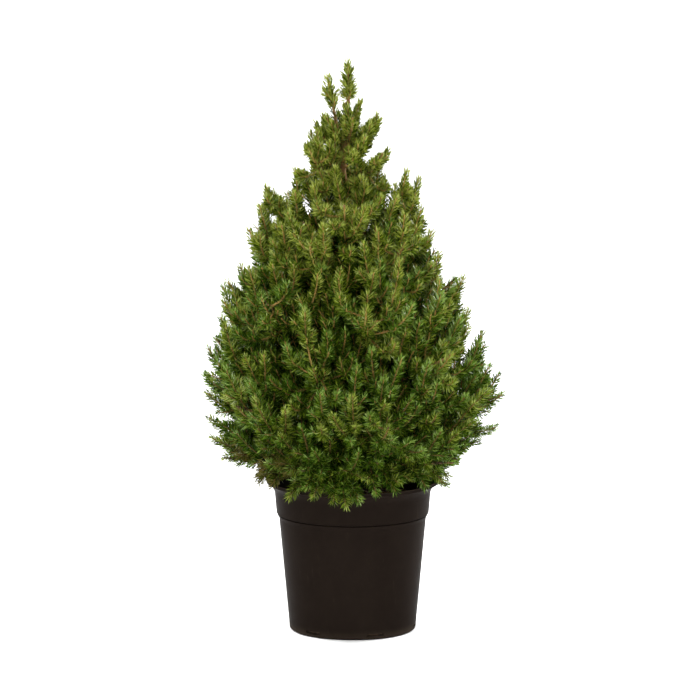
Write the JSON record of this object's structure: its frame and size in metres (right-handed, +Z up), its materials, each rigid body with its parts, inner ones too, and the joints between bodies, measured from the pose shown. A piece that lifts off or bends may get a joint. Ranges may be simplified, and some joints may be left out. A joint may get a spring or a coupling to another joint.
{
  "type": "potted dwarf alberta spruce",
  "caption": "Small dense cone-shaped conifer shrub with upright needled shoots, growing in a round tapered black plastic nursery pot filled with potting mix.",
  "frame": {"origin": "centre of the pot's flat underside, on the floor", "axes": "+Z up along the pot's axis, -Y towards the front view, +X to its right"},
  "size_m": [0.3432, 0.3445, 0.656],
  "materials": {
    "pot": "black moulded plastic, faintly worn, soft sheen",
    "potting_mix": "dark moist peat and bark mix",
    "bark": "rough scaly orange-brown bark",
    "needles": "satin green needles, fresher at the tips"
  },
  "bodies": {
    "root": {"pot": "pot", "potting_mix": "potting_mix", "trunk": "bark", "bough_whorl5_1": "bark", "bough_whorl5_2": "bark", "bough_whorl5_3": "bark", "bough_whorl5_4": "bark", "bough_whorl5_5": "bark", "bough_whorl6_1": "bark", "bough_whorl6_2": "bark", "bough_whorl6_3": "bark", "bough_whorl6_4": "bark", "bough_whorl6_5": "bark", "bough_whorl7_1": "bark", "bough_whorl7_2": "bark", "bough_whorl7_3": "bark", "bough_whorl7_4": "bark", "bough_whorl7_5": "bark", "bough_whorl8_1": "bark", "bough_whorl8_2": "bark", "bough_whorl8_3": "bark", "bough_whorl8_4": "bark", "bough_whorl8_5": "bark", "foliage_leader": "needles", "foliage_second_leader": "needles", "foliage_whorl1_1": "needles", "foliage_whorl1_2": "needles", "foliage_whorl2_1": "needles", "foliage_whorl2_2": "needles", "foliage_whorl2_3": "needles", "foliage_whorl3_1": "needles", "foliage_whorl3_2": "needles", "foliage_whorl3_3": "needles", "foliage_whorl3_4": "needles", "foliage_whorl4_1": "needles", "foliage_whorl4_2": "needles", "foliage_whorl4_3": "needles", "foliage_whorl4_4": "needles", "foliage_whorl4_5": "needles", "foliage_whorl5_1": "needles", "foliage_whorl5_2": "needles", "foliage_whorl5_3": "needles", "foliage_whorl5_4": "needles", "foliage_whorl5_5": "needles", "foliage_whorl6_1": "needles", "foliage_whorl6_2": "needles", "foliage_whorl6_3": "needles", "foliage_whorl6_4": "needles", "foliage_whorl6_5": "needles", "foliage_whorl7_1": "needles", "foliage_whorl7_2": "needles", "foliage_whorl7_3": "needles", "foliage_whorl7_4": "needles", "foliage_whorl7_5": "needles", "foliage_whorl8_1": "needles", "foliage_whorl8_2": "needles", "foliage_whorl8_3": "needles", "foliage_whorl8_4": "needles", "foliage_whorl8_5": "needles"}
  },
  "joints": []
}
